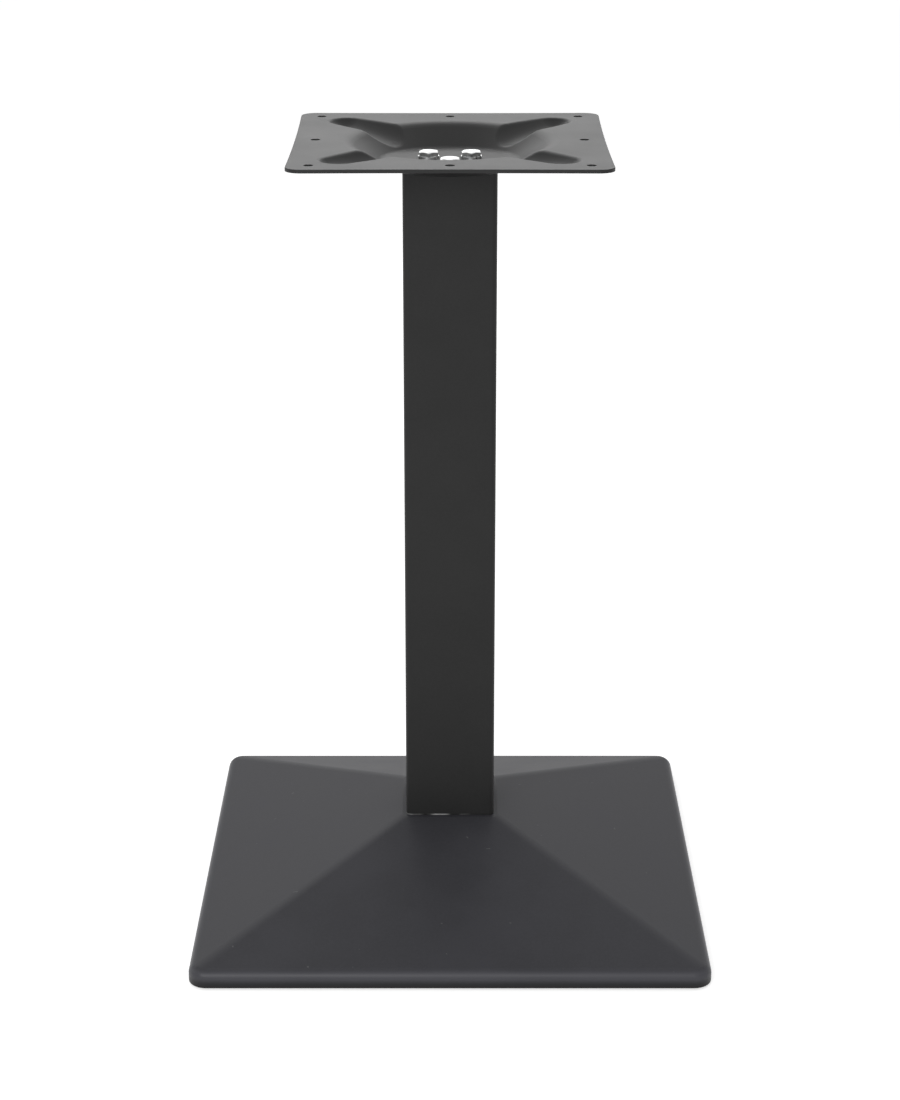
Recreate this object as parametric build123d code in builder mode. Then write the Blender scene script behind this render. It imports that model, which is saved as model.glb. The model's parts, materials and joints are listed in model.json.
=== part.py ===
from build123d import *
import math
import os

# Driving dimensions in millimetres. The floor is z = 0 and the column stands on the z axis.
overall_height = 690.0

# Cast base: a hollow square pyramid with an upright rim all round
base_side = 450.0
base_height = 77.0
base_corner_radius = 16.0
rim_gap = 2.0
rim_height = 14.0
rim_wall = 8.0
rim_edge_radius = 8.0
rim_foot_radius = 1.5
ridge_radius = 24.0
apex_ledge = 4.0
apex_edge_radius = 3.0
casting_wall = 5.5
hub_thickness = 14.0
rib_thickness = 7.0
rib_start = 50.0
rib_depth_at_hub = 22.0
boss_diameter = 26.0

# Column: a square steel tube with an end plate welded into each end
column_side = 80.0
column_wall = 2.0
column_corner_radius = 4.5
end_plate_thickness = 8.0
weld_clearance = 0.1

# Mounting plate: sheet steel pressed to a central dish with four diagonal beads
plate_side = 266.0
plate_bow = 1.5
plate_corner_radius = 13.0
plate_thickness = 3.0
plate_edge_radius = 0.6
screw_hole_diameter = 8.0
screw_hole_inset = 19.0
dish_mouth_radius = 87.0
dish_floor_radius = 59.0
dish_depth = 17.5
dish_lip_radius = 22.0
dish_floor_fillet = 8.0
bead_radius = 22.0
bead_depth = 7.0
bead_fall = 6.5
bead_inset = 60.0
bead_lip_radius = 5.5

# Hexagon bolts and their washers
bolt_circle_radius = 21.0
bolt_diameter = 10.0
bolt_head_flats = 16.0
bolt_head_height = 4.0
bolt_crown_inset = 0.5
bolt_hole_diameter = 11.0
plate_bolt_length = 20.0
base_bolt_length = 30.0
thread_clearance = 0.05
spring_washer_outer = 18.0
spring_washer_thickness = 2.0
spring_washer_slit = 1.6
flat_washer_outer = 20.0
flat_washer_thickness = 2.0
washer_bore = 10.5

# Levelling feet: a moulded pad round the head of a threaded stud, one near each corner
foot_inset = 55.0
pad_diameter = 34.0
pad_height = 8.0
pad_edge_bevel = 1.5
stud_diameter = 8.0
stud_head_flats = 13.0
stud_head_height = 5.3
stud_top_clearance = 1.0
stud_running_clearance = 0.1
pocket_clearance = 0.05

# Levels and places that follow from the dimensions above
rim_top = rim_gap + rim_height
apex_half = column_side / 2 + apex_ledge
slope = (base_height - rim_top) / (base_side / 2 - apex_half)
face_lean = math.degrees(math.atan(1 / slope))
wall_drop = casting_wall * math.hypot(1, slope)
hollow_half = base_side / 2 - rim_wall
hollow_shoulder = rim_top + rim_wall * slope - wall_drop
hub_underside = base_height - hub_thickness
foot_reach = base_side / 2 - foot_inset
foot_radius = foot_reach * math.sqrt(2)
socket_top = rim_top + foot_inset * slope - wall_drop
dish_floor_level = overall_height - dish_depth
column_top = dish_floor_level - plate_thickness
head_plate_level = column_top - end_plate_thickness
tube_inner_side = column_side - 2 * column_wall
tube_inner_radius = column_corner_radius - column_wall
screw_hole_reach = plate_side / 2 - screw_hole_inset
first_bolt_angle = -90.0

diagonals = [
    Plane(
        origin=(0, 0, 0),
        x_dir=(math.cos(turn), math.sin(turn), 0),
        z_dir=(math.sin(turn), -math.cos(turn), 0),
    )
    for turn in (math.radians(45 + 90 * quarter) for quarter in range(4))
]
foot_places = [
    (-foot_reach, -foot_reach),
    (foot_reach, -foot_reach),
    (foot_reach, foot_reach),
    (-foot_reach, foot_reach),
]

os.makedirs("parts", exist_ok=True)


def save(part, name):
    """Labels a finished piece and writes it as one node."""
    part.label = name
    export_step(part, f"parts/{name}.step")


# The space under the casting, with the ribs and the foot bosses left standing in it
with BuildPart() as hollow:
    with BuildSketch(Plane.XY.offset(rim_gap)):
        RectangleRounded(2 * hollow_half, 2 * hollow_half, base_corner_radius - rim_wall)
    extrude(amount=hub_underside - rim_gap)
    with BuildSketch(Plane.XY.offset(rim_gap)):
        hollow_spread = 2 * hollow_half + 2 * (hollow_shoulder - rim_gap) / slope
        Rectangle(hollow_spread, hollow_spread)
    extrude(amount=hub_underside - rim_gap, taper=face_lean, mode=Mode.INTERSECT)
    valleys = hollow.edges().filter_by_position(Axis.Z, hollow_shoulder + rim_gap, hub_underside - rim_gap)
    fillet(valleys, ridge_radius)
    with BuildSketch(*diagonals):
        with BuildLine():
            Polyline(
                (rib_start, hub_underside - rib_depth_at_hub),
                (foot_radius, pad_height),
                (foot_radius, base_height),
                (rib_start, base_height),
                close=True,
            )
        make_face()
    extrude(amount=rib_thickness / 2, both=True, mode=Mode.SUBTRACT)
    with BuildSketch(Plane.XY.offset(pad_height)):
        with GridLocations(2 * foot_reach, 2 * foot_reach, 2, 2):
            Circle(boss_diameter / 2)
    extrude(amount=base_height, mode=Mode.SUBTRACT)

# Cast base: rim and pyramid, hollow below, bored for the column bolts and tapped for the feet
with BuildPart() as base_casting:
    with BuildSketch(Plane.XY.offset(rim_gap)):
        RectangleRounded(base_side, base_side, base_corner_radius)
    extrude(amount=base_height - rim_gap)
    with BuildSketch(Plane.XY.offset(rim_gap)):
        pyramid_spread = base_side + 2 * rim_height / slope
        Rectangle(pyramid_spread, pyramid_spread)
    extrude(amount=base_height - rim_gap, taper=face_lean, mode=Mode.INTERSECT)
    middle = (rim_top + base_height) / 2
    ridges = base_casting.edges().filter_by_position(Axis.Z, middle - rim_height / 2, middle + rim_height / 2)
    fillet(ridges, ridge_radius)
    upper_edges = base_casting.edges().filter_by_position(Axis.Z, rim_top - rim_gap, rim_top + rim_edge_radius)
    fillet(upper_edges, rim_edge_radius)
    fillet(base_casting.faces().sort_by(Axis.Z)[-1].edges(), apex_edge_radius)
    fillet(base_casting.faces().sort_by(Axis.Z)[0].edges(), rim_foot_radius)
    add(hollow.part, mode=Mode.SUBTRACT)
    with BuildSketch(Plane.XY.offset(hub_underside)):
        with PolarLocations(bolt_circle_radius, 3, start_angle=first_bolt_angle):
            Circle(bolt_hole_diameter / 2)
    extrude(amount=hub_thickness, mode=Mode.SUBTRACT)
    with BuildSketch(Plane.XY.offset(pad_height)):
        with GridLocations(2 * foot_reach, 2 * foot_reach, 2, 2):
            Circle(stud_diameter / 2 + stud_running_clearance)
    extrude(amount=socket_top - pad_height, mode=Mode.SUBTRACT)
save(base_casting.part, "base_casting")

# Column: square tube from the top of the casting to the underside of the dish
with BuildPart() as column_tube:
    with BuildSketch(Plane.XY.offset(base_height)):
        RectangleRounded(column_side, column_side, column_corner_radius)
        RectangleRounded(tube_inner_side, tube_inner_side, tube_inner_radius, mode=Mode.SUBTRACT)
    extrude(amount=column_top - base_height)
save(column_tube.part, "column_tube")

# End plates, flush with the ends of the tube and tapped for three bolts each
end_plate_side = tube_inner_side - 2 * weld_clearance
with BuildSketch() as end_plate_outline:
    RectangleRounded(end_plate_side, end_plate_side, tube_inner_radius)
    with PolarLocations(bolt_circle_radius, 3, start_angle=first_bolt_angle):
        Circle(bolt_diameter / 2 + thread_clearance, mode=Mode.SUBTRACT)

with BuildPart() as column_foot_plate:
    with BuildSketch(Plane.XY.offset(base_height)):
        add(end_plate_outline.sketch)
    extrude(amount=end_plate_thickness)
save(column_foot_plate.part, "column_foot_plate")

with BuildPart() as column_head_plate:
    with BuildSketch(Plane.XY.offset(head_plate_level)):
        add(end_plate_outline.sketch)
    extrude(amount=end_plate_thickness)
save(column_head_plate.part, "column_head_plate")

# Outline of the mounting plate: four sides drawn in a little by the pressing, with round corners
half_side = plate_side / 2
with BuildSketch() as plate_outline:
    with BuildLine():
        corners = [
            (-half_side, -half_side),
            (half_side, -half_side),
            (half_side, half_side),
            (-half_side, half_side),
        ]
        bows = [(0, -half_side), (half_side, 0), (0, half_side), (-half_side, 0)]
        drawn_in = 1 - plate_bow / half_side
        for start, bow, end in zip(corners, bows, corners[1:] + corners[:1]):
            ThreePointArc(start, (bow[0] * drawn_in, bow[1] * drawn_in), end)
    make_face()
    fillet(plate_outline.vertices(), plate_corner_radius)

# Pressing tool: each bead is a ball-nosed bar, sunk into the sheet along a diagonal and falling to the dish
wall_angle = math.atan2(dish_depth, dish_mouth_radius - dish_floor_radius)
bead_reach = half_side * math.sqrt(2) - bead_inset
bead_length = bead_reach - 0.9 * dish_floor_radius
fall_angle = math.radians(bead_fall)
slab_height = 5.0
bead_plane = Plane(
    origin=(bead_reach, 0, overall_height + bead_radius - bead_depth),
    x_dir=(-math.cos(fall_angle), 0, -math.sin(fall_angle)),
    z_dir=(0, 1, 0),
)


def pressed_form(depth_below):
    """Everything above one skin of the sheet, depth_below under its upper skin.

    The dish is turned and the four bars are added to it. Growing both by the same distance, and
    their rounded edges with them, keeps the sheet evenly thick.
    """
    level = overall_height - depth_below
    floor_level = level - dish_depth
    roof_level = overall_height + slab_height
    widening = depth_below * math.tan(wall_angle / 2)
    floor_turn = (dish_floor_radius + widening, floor_level)
    lip_turn = (dish_mouth_radius + widening, level)
    lip_end = dish_mouth_radius + widening + dish_lip_radius
    radius = bead_radius + depth_below

    with BuildPart() as bead:
        with BuildSketch(bead_plane):
            with BuildLine():
                CenterArc((0, 0), radius, 90, 90)
                Polyline((-radius, 0), (bead_length, 0), (bead_length, radius), (0, radius))
            make_face()
        revolve(axis=Axis(bead_plane.origin, bead_plane.x_dir))

    with BuildPart() as form:
        with PolarLocations(0, 4, start_angle=45):
            add(bead.part)
        split(bisect_by=Plane.XY.offset(overall_height + slab_height / 2), keep=Keep.BOTTOM)
        with BuildSketch(Plane.XZ) as profile:
            with BuildLine():
                Polyline(
                    (0, floor_level),
                    floor_turn,
                    lip_turn,
                    (lip_end, level),
                    (lip_end, roof_level),
                    (0, roof_level),
                    close=True,
                )
            make_face()
            fillet(profile.vertices().sort_by_distance(floor_turn)[0], dish_floor_fillet + depth_below)
            fillet(profile.vertices().sort_by_distance(lip_turn)[0], dish_lip_radius - depth_below)
        revolve(axis=Axis.Z)
        with BuildSketch(Plane.XY.offset(level)):
            add(plate_outline.sketch)
        extrude(amount=roof_level - level)
        nose_edges = form.faces().filter_by(GeomType.SPHERE).edges()
        lip_edges = nose_edges.group_by(Axis.Z)[-1]
        fillet(lip_edges, bead_lip_radius - depth_below)
    return form.part


# Mounting plate: the sheet between its two skins, drilled for wood screws and for the three bolts
with BuildPart() as mounting_plate:
    add(pressed_form(plate_thickness))
    add(pressed_form(0.0), mode=Mode.SUBTRACT)
    top_rim = mounting_plate.faces().filter_by(GeomType.PLANE).sort_by(Axis.Z)[-1].outer_wire().edges()
    fillet(top_rim, plate_edge_radius)
    with BuildSketch(Plane.XY.offset(overall_height)):
        with GridLocations(2 * screw_hole_reach, 2 * screw_hole_reach, 2, 2):
            Circle(screw_hole_diameter / 2)
        with PolarLocations(screw_hole_reach, 4):
            Circle(screw_hole_diameter / 2)
    extrude(amount=-2 * plate_thickness, mode=Mode.SUBTRACT)
    with BuildSketch(Plane.XY.offset(dish_floor_level)):
        with PolarLocations(bolt_circle_radius, 3, start_angle=first_bolt_angle):
            Circle(bolt_hole_diameter / 2)
    extrude(amount=-2 * plate_thickness, mode=Mode.SUBTRACT)
save(mounting_plate.part, "mounting_plate")


def hex_bolt(length):
    """A hexagon bolt on its seat: head with a chamfered crown above z = 0, shank below."""
    corner_radius = bolt_head_flats / math.sqrt(3)
    crown_radius = bolt_head_flats / 2 - bolt_crown_inset
    crown_drop = (corner_radius - crown_radius) * math.tan(math.radians(30))
    with BuildPart() as bolt:
        with BuildSketch():
            RegularPolygon(bolt_head_flats / 2, 6, major_radius=False)
        extrude(amount=bolt_head_height)
        with BuildSketch(Plane.XZ):
            with BuildLine():
                Polyline(
                    (0, 0),
                    (corner_radius, 0),
                    (corner_radius, bolt_head_height - crown_drop),
                    (crown_radius, bolt_head_height),
                    (0, bolt_head_height),
                    close=True,
                )
            make_face()
        revolve(axis=Axis.Z, mode=Mode.INTERSECT)
        with BuildSketch():
            Circle(bolt_diameter / 2)
        extrude(amount=-length)
        chamfer(bolt.faces().sort_by(Axis.Z)[0].edges(), bolt_diameter / 10)
    return bolt.part


# Spring washer lying on z = 0: a square-section ring with a slanting slit
with BuildPart() as spring_washer:
    with BuildSketch():
        Circle(spring_washer_outer / 2)
        Circle(washer_bore / 2, mode=Mode.SUBTRACT)
    extrude(amount=spring_washer_thickness)
    with BuildSketch(Plane.XZ):
        with BuildLine():
            Polyline(
                (-spring_washer_slit, 0),
                (0, 0),
                (spring_washer_slit, spring_washer_thickness),
                (0, spring_washer_thickness),
                close=True,
            )
        make_face()
    extrude(amount=spring_washer_outer, mode=Mode.SUBTRACT)

# Three bolts in the dish hold the plate down on the column's head plate
plate_bolt = hex_bolt(plate_bolt_length)
with BuildPart() as plate_spring_washers:
    with Locations((0, 0, dish_floor_level)):
        with PolarLocations(bolt_circle_radius, 3, start_angle=first_bolt_angle):
            add(spring_washer.part)
save(plate_spring_washers.part, "plate_spring_washers")

with BuildPart() as plate_bolts:
    with Locations((0, 0, dish_floor_level + spring_washer_thickness)):
        with PolarLocations(bolt_circle_radius, 3, start_angle=first_bolt_angle):
            add(plate_bolt)
save(plate_bolts.part, "plate_bolts")

# Three bolts from below hold the casting up against the column's foot plate
base_bolt = hex_bolt(base_bolt_length).mirror(Plane.XY)
flat_washer_level = hub_underside - flat_washer_thickness
spring_washer_level = flat_washer_level - spring_washer_thickness
with BuildPart() as base_flat_washers:
    with BuildSketch(Plane.XY.offset(flat_washer_level)):
        with PolarLocations(bolt_circle_radius, 3, start_angle=first_bolt_angle):
            Circle(flat_washer_outer / 2)
            Circle(washer_bore / 2, mode=Mode.SUBTRACT)
    extrude(amount=flat_washer_thickness)
save(base_flat_washers.part, "base_flat_washers")

with BuildPart() as base_spring_washers:
    with Locations((0, 0, spring_washer_level)):
        with PolarLocations(bolt_circle_radius, 3, start_angle=first_bolt_angle):
            add(spring_washer.part)
save(base_spring_washers.part, "base_spring_washers")

with BuildPart() as base_bolts:
    with Locations((0, 0, spring_washer_level)):
        with PolarLocations(bolt_circle_radius, 3, start_angle=first_bolt_angle):
            add(base_bolt)
save(base_bolts.part, "base_bolts")

# Levelling feet, screwed right in: each pad bears on its boss and stands on the floor
for number, place in enumerate(foot_places, start=1):
    with BuildPart() as foot_pad:
        with BuildSketch():
            with Locations(place):
                Circle(pad_diameter / 2)
        extrude(amount=pad_height)
        chamfer(foot_pad.edges(), pad_edge_bevel)
        with BuildSketch(Plane.XY.offset(pad_height)):
            with Locations(place):
                RegularPolygon(stud_head_flats / 2 + pocket_clearance, 6, major_radius=False)
        extrude(amount=-stud_head_height, mode=Mode.SUBTRACT)
    save(foot_pad.part, f"foot_pad_{number}")

    with BuildPart() as foot_stud:
        with BuildSketch(Plane.XY.offset(pad_height - stud_head_height)):
            with Locations(place):
                RegularPolygon(stud_head_flats / 2, 6, major_radius=False)
        extrude(amount=stud_head_height)
        with BuildSketch(Plane.XY.offset(pad_height)):
            with Locations(place):
                Circle(stud_diameter / 2)
        extrude(amount=socket_top - stud_top_clearance - pad_height)
        chamfer(foot_stud.faces().sort_by(Axis.Z)[-1].edges(), stud_diameter / 10)
    save(foot_stud.part, f"foot_stud_{number}")
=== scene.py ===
import json
import math

import bpy
import numpy as np
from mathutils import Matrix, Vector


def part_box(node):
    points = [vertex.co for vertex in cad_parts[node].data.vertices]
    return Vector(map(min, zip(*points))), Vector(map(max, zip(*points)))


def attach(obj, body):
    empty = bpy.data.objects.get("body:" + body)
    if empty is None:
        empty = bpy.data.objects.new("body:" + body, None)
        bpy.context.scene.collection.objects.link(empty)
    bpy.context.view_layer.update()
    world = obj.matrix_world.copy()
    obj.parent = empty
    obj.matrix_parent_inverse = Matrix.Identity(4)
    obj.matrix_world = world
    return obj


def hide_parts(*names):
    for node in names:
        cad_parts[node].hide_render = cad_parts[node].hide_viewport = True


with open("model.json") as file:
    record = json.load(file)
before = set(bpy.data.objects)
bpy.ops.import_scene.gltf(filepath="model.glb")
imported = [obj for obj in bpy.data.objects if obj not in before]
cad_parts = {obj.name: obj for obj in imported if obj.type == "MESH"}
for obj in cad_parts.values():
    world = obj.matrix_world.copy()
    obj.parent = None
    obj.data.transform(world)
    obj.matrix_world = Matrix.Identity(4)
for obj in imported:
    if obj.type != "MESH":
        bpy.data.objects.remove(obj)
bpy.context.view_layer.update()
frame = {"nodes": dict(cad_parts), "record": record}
nodes = frame["nodes"]

# Sizes in metres and angles in degrees, as the solids have them
DISH_FLOOR = 0.6725
SPRING_WASHER = 0.002
FLAT_WASHER = 0.002
HUB_UNDERSIDE = 0.063
BOLT_CIRCLE = 0.021
BOLT_ANGLES = (-90.0, 30.0, 150.0)
BOLT_FLATS = 0.016
BOLT_HEAD = 0.004
BOLT_RADIUS = 0.005
BOLT_PITCH = 0.0015
PLATE_BOLT_LENGTH = 0.020
BASE_BOLT_LENGTH = 0.030
CROWN_INSET = 0.0005
STUD_FLATS = 0.013
STUD_HEAD = 0.0053
STUD_RADIUS = 0.004
STUD_PITCH = 0.00125
PAD_HEIGHT = 0.008
FOOT_REACH = 0.170
FOOT_SIDES = [(-1, -1), (1, -1), (1, 1), (-1, 1)]
COLUMN_FOOT = 0.077

# Form of a thread: its depth for its pitch, the plain neck under the head in metres, the bevel of the tip
# as a share of the radius, and the rows that draw one turn
THREAD_DEPTH = 0.54
THREAD_NECK = 0.0004
TIP_BEVEL = 0.2
ROWS_PER_TURN = 10

# Welding of a surface at its poles in metres, and the edge in degrees up to which it is shaded smooth
POLE_WELD = 0.000002
SMOOTH_ANGLE = 28.0

# Wear, a painted highlight, painted shade and a painted glint on the coats in metres: each pair says where
# a step begins and where it ends
RIM_REACH = (0.217, 0.218)
RIM_FADE = (0.015, 0.019)
FOOT_SHADE_FADE = (0.003, 0.011)
HIGHLIGHT_BAND = (0.007, 0.012)
GLINT_FADE = (0.0006, 0.0016)
GLINT_CENTRE = -0.009
GLINT_SPREAD = (0.003, 0.010)

# Camera: its place in metres, how far it looks down in degrees, and its focal length in millimetres
CAMERA_PLACE = (0.0, -2.0867, 1.0702)
CAMERA_DOWN = 19.764
CAMERA_LENS = 80.80


class Signal:
    """A socket of a node tree: arithmetic on it adds Math nodes, and node() adds any other node."""

    def __init__(self, tree, socket=None):
        self.tree = tree
        self.socket = socket

    def node(self, kind, settings, sockets, output=0):
        """A new node of that type, with its settings made first and then its sockets set or linked."""
        made = self.tree.nodes.new(kind)
        for name, value in settings.items():
            setattr(made, name, value)
        for name, value in sockets.items():
            if isinstance(value, Signal):
                self.tree.links.new(value.socket, made.inputs[name])
            else:
                made.inputs[name].default_value = value
        return Signal(self.tree, made.outputs[output])

    def math(self, operation, first, second):
        """A Math node of that operation on two values."""
        return self.node("ShaderNodeMath", {"operation": operation}, {0: first, 1: second})

    def __add__(self, other):
        return self.math("ADD", self, other)

    def __radd__(self, other):
        return self.math("ADD", other, self)

    def __sub__(self, other):
        return self.math("SUBTRACT", self, other)

    def __rsub__(self, other):
        return self.math("SUBTRACT", other, self)

    def __mul__(self, other):
        return self.math("MULTIPLY", self, other)

    def __rmul__(self, other):
        return self.math("MULTIPLY", other, self)

    def size(self):
        """The value without its sign."""
        return self.math("ABSOLUTE", self, 0.0)

    def above(self, low, high):
        """0 under low, 1 over high and a smooth step between them."""
        return self.node(
            "ShaderNodeMapRange",
            {"interpolation_type": "SMOOTHSTEP"},
            {"Value": self, "From Min": low, "From Max": high},
        )

    def noise(self, scale, detail, roughness=0.5):
        """Noise over these coordinates, with about scale lumps to the metre."""
        sockets = {"Vector": self, "Scale": scale, "Detail": detail, "Roughness": roughness}
        return self.node("ShaderNodeTexNoise", {}, sockets)

    def axis(self, letter):
        """One coordinate of a vector."""
        return self.node("ShaderNodeSeparateXYZ", {}, {"Vector": self}, output="XYZ".index(letter))

    def blend(self, first, second):
        """A colour from first to second as this value goes from 0 to 1."""
        return self.node("ShaderNodeMix", {"data_type": "RGBA"}, {0: self, 6: first, 7: second}, output=2)

    def bump(self, strength, distance, under=None):
        """A normal roughened by this height, over another roughened normal if there is one."""
        sockets = {"Height": self, "Strength": strength, "Distance": distance}
        if under is not None:
            sockets["Normal"] = under
        return self.node("ShaderNodeBump", {}, sockets)


def grey(level, tint=1.0):
    """A neutral colour of that level, with its blue raised or lowered by the tint."""
    return (level, level, level * tint, 1.0)


def new_material(name):
    """An empty finish: its shader node, and the object coordinates that its pattern is laid out on."""
    material = bpy.data.materials.new(name)
    material.use_nodes = True
    tree = material.node_tree
    shader = tree.nodes["Principled BSDF"]
    place = Signal(tree).node("ShaderNodeTexCoord", {}, {}, output="Object")
    return material, shader, place


def connect(shader, **sockets):
    """Links each signal to the shader's socket of that name, or sets the socket to a plain value."""
    for name, value in sockets.items():
        socket = shader.inputs[name.replace("_", " ")]
        if isinstance(value, Signal):
            value.tree.links.new(value.socket, socket)
        else:
            socket.default_value = value


def rim_wear_and_painted_light(place, cloud, colour, finish, level, tint):
    """Casting colour and roughness: nibs, a scuffed rim, a painted rim highlight and painted shade at its
    foot.
    """
    bare_and_glint = grey(level * 4.0)
    # colour of the painted highlight along the rim's rounding
    pale = grey(level * 1.7, tint)
    # colour of the painted shade at the rim's foot
    foot_shade_colour = grey(level * 0.1, tint)
    height = place.axis("Z")
    reach = place.math("MAXIMUM", place.axis("X").size(), place.axis("Y").size())
    outside = reach.above(*RIM_REACH)
    rim = outside * (1.0 - height.above(*RIM_FADE))
    # painted shade: the rim darkened towards the floor at its foot
    painted_foot_shade = outside * (1.0 - height.above(*FOOT_SHADE_FADE))
    # painted highlight: a pale strip along the rim's rounding, stronger where the cloud is
    painted_highlight = rim * height.above(*HIGHLIGHT_BAND) * (0.6 + 0.8 * cloud)
    scuff = rim * place.noise(95.0, 4.0, 0.7).above(0.70, 0.76)
    nibs = place.noise(210.0, 0.0).above(0.86, 0.89)
    colour = (scuff * 0.5 + nibs * 0.4).blend(colour, bare_and_glint)
    colour = painted_highlight.blend(colour, pale)
    colour = (painted_foot_shade * 0.95).blend(colour, foot_shade_colour)
    finish = finish - 0.14 * rim + 0.15 * scuff
    return colour, finish


def painted_seam_glint(place, colour, seam):
    """A painted glint: the coat painted bright just above a seam at that height, most of all in one place.
    """
    # bright colour of the painted glint
    bare_and_glint = grey(0.40)
    fade_start, fade_end = GLINT_FADE
    glint_start, glint_end = GLINT_SPREAD
    glint_band = 1.0 - place.axis("Z").above(seam + fade_start, seam + fade_end)
    aside = place.axis("X") - GLINT_CENTRE
    glint_spot = 1.0 - (aside * aside).above(glint_start ** 2, glint_end ** 2)
    glint_patches = place.noise(70.0, 2.0).above(0.46, 0.64)
    return (glint_band * (glint_spot * 0.6 + glint_patches * 0.3)).blend(colour, bare_and_glint)


def powder_coat(name, level, roughness, gloss, tint=1.0, casting=False, seam=None):
    """Satin black powder coat of that grey level: fine orange peel and a faint cloudiness.

    A casting also has low waves, the wear of its rim, a painted highlight on it and painted shade at its
    foot.
    A seam is the height of one that gets a painted glint.
    """
    material, shader, place = new_material(name)
    cloud = place.noise(16.0, 3.0)
    grain = place.noise(420.0, 2.0)
    mottle = (cloud * 0.7 + grain * 0.3).above(0.3, 0.7)
    colour = mottle.blend(grey(level * 0.88, tint), grey(level * 1.12, tint))
    finish = roughness - 0.05 + 0.10 * cloud
    peel = place.noise(650.0, 2.0)
    normal = peel.bump(0.10, 0.0002)
    if casting:
        wave = place.noise(22.0, 2.0)
        normal = wave.bump(0.10, 0.0006, under=normal)
        colour, finish = rim_wear_and_painted_light(place, cloud, colour, finish, level, tint)
    if seam is not None:
        # painted glint along the seam
        colour = painted_seam_glint(place, colour, seam)
    connect(shader, Base_Color=colour, Roughness=finish, Normal=normal, Specular_IOR_Level=gloss)
    return material


def zinc_plate(name):
    """Bright zinc: metal with a faint cloudy bloom and fine drawing marks."""
    material, shader, place = new_material(name)
    dull = (0.60, 0.61, 0.62, 1.0)
    bright = (0.74, 0.74, 0.73, 1.0)
    bloom = place.noise(380.0, 3.0)
    marks = place.noise(2400.0, 2.0)
    connect(
        shader,
        Base_Color=bloom.above(0.3, 0.7).blend(dull, bright),
        Metallic=1.0,
        Roughness=0.22 + 0.16 * bloom,
        Normal=marks.bump(0.06, 0.0001),
    )
    return material


def moulded_nylon(name):
    """Matt black moulding with a spark-eroded grain."""
    material, shader, place = new_material(name)
    grain = place.noise(1500.0, 2.0)
    cloud = place.noise(60.0, 2.0)
    connect(
        shader,
        Base_Color=cloud.blend(grey(0.020), grey(0.032)),
        Roughness=0.58 + 0.12 * cloud,
        Normal=grain.bump(0.25, 0.0002),
        Specular_IOR_Level=0.35,
    )
    return material


cast_base_coat = powder_coat(
    "cast_base_coat", level=0.029, roughness=0.57, gloss=0.25, tint=1.16, casting=True
)
finishes = {
    "cast_base": cast_base_coat,
    # the column's coat gets a painted glint just above its foot seam
    "column": powder_coat("column_coat", level=0.014, roughness=0.40, gloss=0.20, seam=COLUMN_FOOT),
    "end_plate": powder_coat("end_plate_coat", level=0.018, roughness=0.44, gloss=0.25),
    "pressed_plate": powder_coat("pressed_plate_coat", level=0.010, roughness=0.50, gloss=0.27),
    "zinc": zinc_plate("bright_zinc"),
    "foot_pad": moulded_nylon("foot_pad_nylon"),
}
for subpart in frame["record"]["subparts"]:
    node = nodes[subpart["node"]]
    node.data.materials.clear()
    node.data.materials.append(finishes[subpart["material_slot"]])


def bolt_profile(flats, head, radius, pitch, length):
    """Rows of a hexagon bolt from the middle of its crown to the middle of its tip.

    Each row has a height above the seat, a round radius, how far the hexagon cuts it (1 on the head, 0 on
    the shank) and how deep the thread runs in it (0 at both ends of the shank, full between them).
    """
    corner = flats / math.sqrt(3)
    crown = flats / 2 - CROWN_INSET
    drop = (corner - crown) * math.tan(math.radians(30))
    bevel = radius * TIP_BEVEL
    shank = np.linspace(-THREAD_NECK, -length + bevel, int(length / pitch * ROWS_PER_TURN))
    run_in = np.clip((-shank - THREAD_NECK) / (2 * pitch), 0, 1)
    run_out = np.clip((shank + length - bevel) / pitch, 0, 1)
    depth = run_in * run_out * THREAD_DEPTH * pitch
    tip = np.array([radius - bevel, (radius - bevel) / 2, 0])
    parts = [
        (np.full(4, head), np.linspace(0, crown, 4), np.ones(4), np.zeros(4)),
        (np.linspace(head, head - drop, 7)[1:], np.linspace(crown, corner, 7)[1:], np.ones(6), np.zeros(6)),
        (np.linspace(head - drop, 0, 4)[1:], np.full(3, corner), np.ones(3), np.zeros(3)),
        (np.zeros(2), np.array([corner, radius]), np.array([1, 0]), np.zeros(2)),
        (shank, np.full(len(shank), radius), np.zeros(len(shank)), depth),
        (np.full(3, -length), tip, np.zeros(3), np.zeros(3)),
    ]
    return [np.concatenate(column) for column in zip(*parts)]


def bolt_surface(flats, head, radius, pitch, length, turn, around=72):
    """A bolt as a surface over angle a and row s: radius r(a, s) about the axis at height z(s).

    On the head r is the smaller of the crown's cone and the hexagon, flats / 2 / cos(a to the nearest
    flat). On the shank r falls from the outer radius by the thread's depth times a triangle wave of
    z / pitch - a / 2 pi.
    """
    rows = bolt_profile(flats, head, radius, pitch, length)
    height, round_radius, hexed, depth = (row[:, None] for row in rows)
    angle = np.arange(around)[None, :] * (2 * np.pi / around)
    from_flat = np.mod(angle, np.pi / 3) - np.pi / 6
    hexagon = flats / 2 / np.cos(from_flat)
    wave = np.abs(2 * np.mod(height / pitch - angle / (2 * np.pi), 1) - 1)
    spread = np.where(hexed > 0, np.minimum(round_radius, hexagon), round_radius) - depth * wave
    direction = angle + math.radians(turn)
    x = spread * np.cos(direction)
    y = spread * np.sin(direction)
    z = height + 0 * angle
    return np.stack([x, y, z], axis=-1)


def head_down(bolt):
    """The bolt turned over about its seat, with its rows in the order that keeps its faces outward."""
    return (bolt * (1, 1, -1))[::-1]


def closed_faces(rows, around, first):
    """Quads of a rows x around grid whose columns join up, numbered from first."""
    row, column = np.meshgrid(np.arange(rows - 1), np.arange(around), indexing="ij")
    here = row * around
    below = here + around
    beside = (column + 1) % around
    corners = [here + column, below + column, below + beside, here + beside]
    return np.stack(corners, axis=-1).reshape(-1, 4) + first


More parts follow.
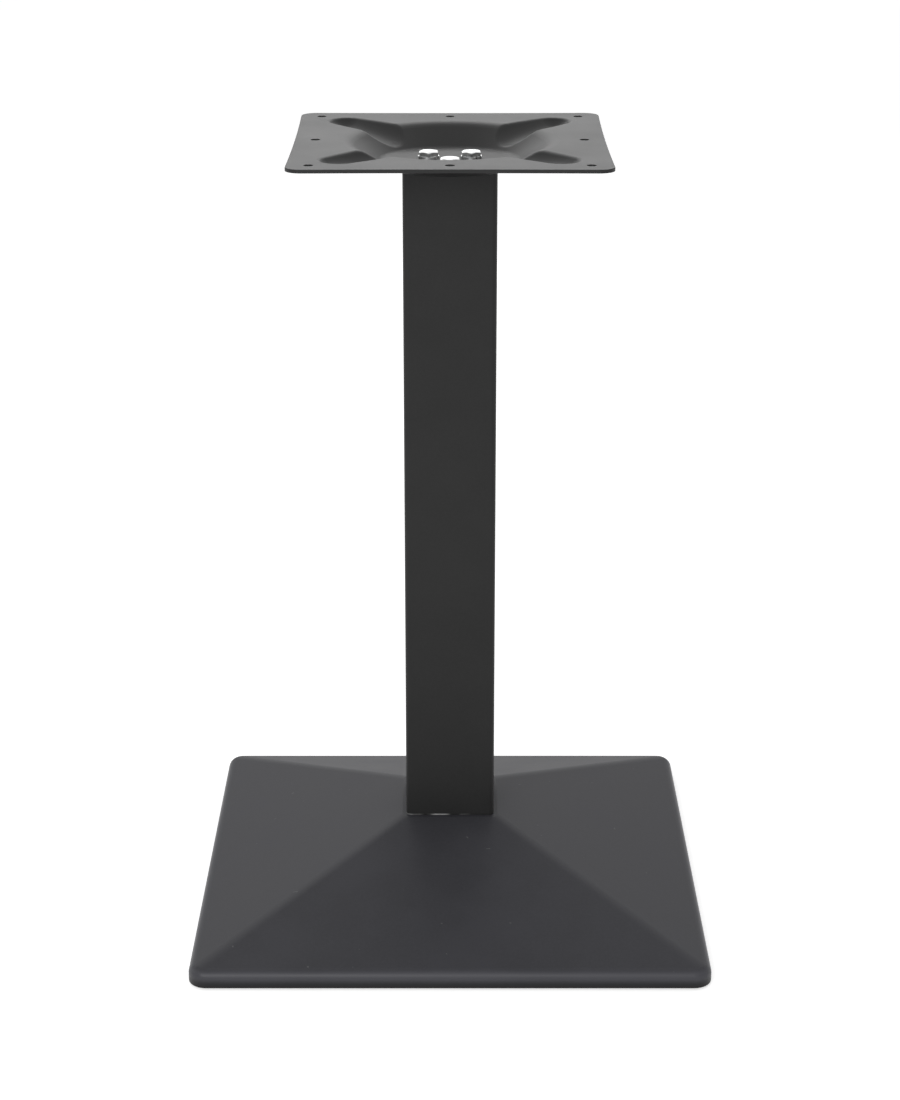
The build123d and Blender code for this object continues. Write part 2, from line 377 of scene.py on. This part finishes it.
def put_mesh(name, grids, body, slot, replaced):
    """One piece from closed grids of points, welded at its poles, shaded smooth across its gentle edges."""
    faces = []
    first = 0
    for grid in grids:
        faces.append(closed_faces(grid.shape[0], grid.shape[1], first))
        first += grid.shape[0] * grid.shape[1]
    mesh = bpy.data.meshes.new(name)
    points = np.concatenate([grid.reshape(-1, 3) for grid in grids])
    mesh.from_pydata(points.tolist(), [], np.concatenate(faces).tolist())
    mesh.validate()
    piece = bpy.data.objects.new(name, mesh)
    bpy.context.scene.collection.objects.link(piece)
    weld = piece.modifiers.new("weld", "WELD")
    weld.merge_threshold = POLE_WELD
    mesh.shade_smooth()
    mesh.set_sharp_from_angle(angle=math.radians(SMOOTH_ANGLE))
    mesh.materials.append(finishes[slot])
    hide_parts(replaced)
    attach(piece, body)


def ring_of_bolts(seat, up, length):
    """Three bolts on the bolt circle with their seats at that level, heads up or down."""
    grids = []
    for angle in BOLT_ANGLES:
        bolt = bolt_surface(BOLT_FLATS, BOLT_HEAD, BOLT_RADIUS, BOLT_PITCH, length, angle)
        if not up:
            bolt = head_down(bolt)
        turn = math.radians(angle)
        grids.append(bolt + np.array([BOLT_CIRCLE * math.cos(turn), BOLT_CIRCLE * math.sin(turn), seat]))
    return grids


plate_bolts = ring_of_bolts(DISH_FLOOR + SPRING_WASHER, True, PLATE_BOLT_LENGTH)
put_mesh("plate_bolts_threaded", plate_bolts, "stand", "zinc", "plate_bolts")
base_bolts = ring_of_bolts(HUB_UNDERSIDE - FLAT_WASHER - SPRING_WASHER, False, BASE_BOLT_LENGTH)
put_mesh("base_bolts_threaded", base_bolts, "stand", "zinc", "base_bolts")

for number, (side, end) in enumerate(FOOT_SIDES, start=1):
    stud_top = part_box(f"foot_stud_{number}")[1].z
    stud = bolt_surface(STUD_FLATS, STUD_HEAD, STUD_RADIUS, STUD_PITCH, stud_top - PAD_HEIGHT, 0.0)
    stud = head_down(stud) + np.array([side * FOOT_REACH, end * FOOT_REACH, PAD_HEIGHT])
    put_mesh(f"foot_stud_{number}_threaded", [stud], f"foot_{number}", "zinc", f"foot_stud_{number}")


# Studio: a pale floor, white all round, and soft light from the front, the left and behind
def seen_rays(tree):
    """1 for a ray from the eye, from gloss or through glass, and 0 for any other."""
    start = Signal(tree)
    camera_ray = start.node("ShaderNodeLightPath", {}, {}, output="Is Camera Ray")
    glossy_ray = start.node("ShaderNodeLightPath", {}, {}, output="Is Glossy Ray")
    glass_ray = start.node("ShaderNodeLightPath", {}, {}, output="Is Transmission Ray")
    return camera_ray + glossy_ray + glass_ray


def white_world(daylight):
    """White to the eye, in gloss and through glass, and an even daylight of that strength on the rest."""
    world = bpy.data.worlds.new("studio")
    world.use_nodes = True
    bpy.context.scene.world = world
    tree = world.node_tree
    strength = daylight + (1.0 - daylight) * seen_rays(tree).above(0.0, 1.0)
    connect(tree.nodes["Background"], Color=grey(1.0), Strength=strength)


def pale_floor(half, glow):
    """A flat floor that takes the shadow, lifted to white to the eye, in gloss and through glass."""
    mesh = bpy.data.meshes.new("floor")
    corners = [(-half, -half, 0), (half, -half, 0), (half, half, 0), (-half, half, 0)]
    mesh.from_pydata(corners, [], [(0, 1, 2, 3)])
    floor = bpy.data.objects.new("floor", mesh)
    bpy.context.scene.collection.objects.link(floor)
    material, shader, place = new_material("pale_floor")
    lift = seen_rays(place.tree).blend(grey(0.0), grey(glow))
    connect(
        shader,
        Base_Color=grey(0.80),
        Roughness=0.9,
        Specular_IOR_Level=0.0,
        Emission_Color=lift,
        Emission_Strength=1.0,
    )
    mesh.materials.append(material)


def soft_light(name, place, aim, width, height, power):
    """A soft box at place, turned towards aim."""
    lamp = bpy.data.lights.new(name, "AREA")
    lamp.energy = power
    lamp.shape = "RECTANGLE"
    lamp.size = width
    lamp.size_y = height
    box = bpy.data.objects.new(name, lamp)
    heading = np.array(aim) - np.array(place)
    across = math.hypot(heading[0], heading[1])
    box.location = place
    box.rotation_euler = (math.atan2(across, -heading[2]), 0.0, math.atan2(-heading[0], heading[1]))
    bpy.context.scene.collection.objects.link(box)


white_world(daylight=0.55)
pale_floor(half=12.0, glow=0.56)
soft_light("front_panel", (-0.8, -2.9, 1.75), (0.0, 0.0, 0.1), width=2.0, height=1.2, power=50.0)
soft_light("left_panel", (-3.0, 0.6, 1.3), (0.0, 0.0, 0.2), width=1.6, height=1.2, power=6.0)
soft_light("rear_key", (-0.2, 2.8, 2.0), (0.0, 0.0, 0.5), width=2.0, height=0.7, power=18.5)

# Camera on the centre line, above the plate and looking down
lens = bpy.data.cameras.new("camera")
lens.sensor_width = 36.0
lens.lens = CAMERA_LENS
camera = bpy.data.objects.new("camera", lens)
camera.location = CAMERA_PLACE
camera.rotation_euler = (math.radians(90.0 - CAMERA_DOWN), 0.0, 0.0)
bpy.context.scene.collection.objects.link(camera)
bpy.context.scene.camera = camera
bpy.context.scene.view_settings.view_transform = "Standard"
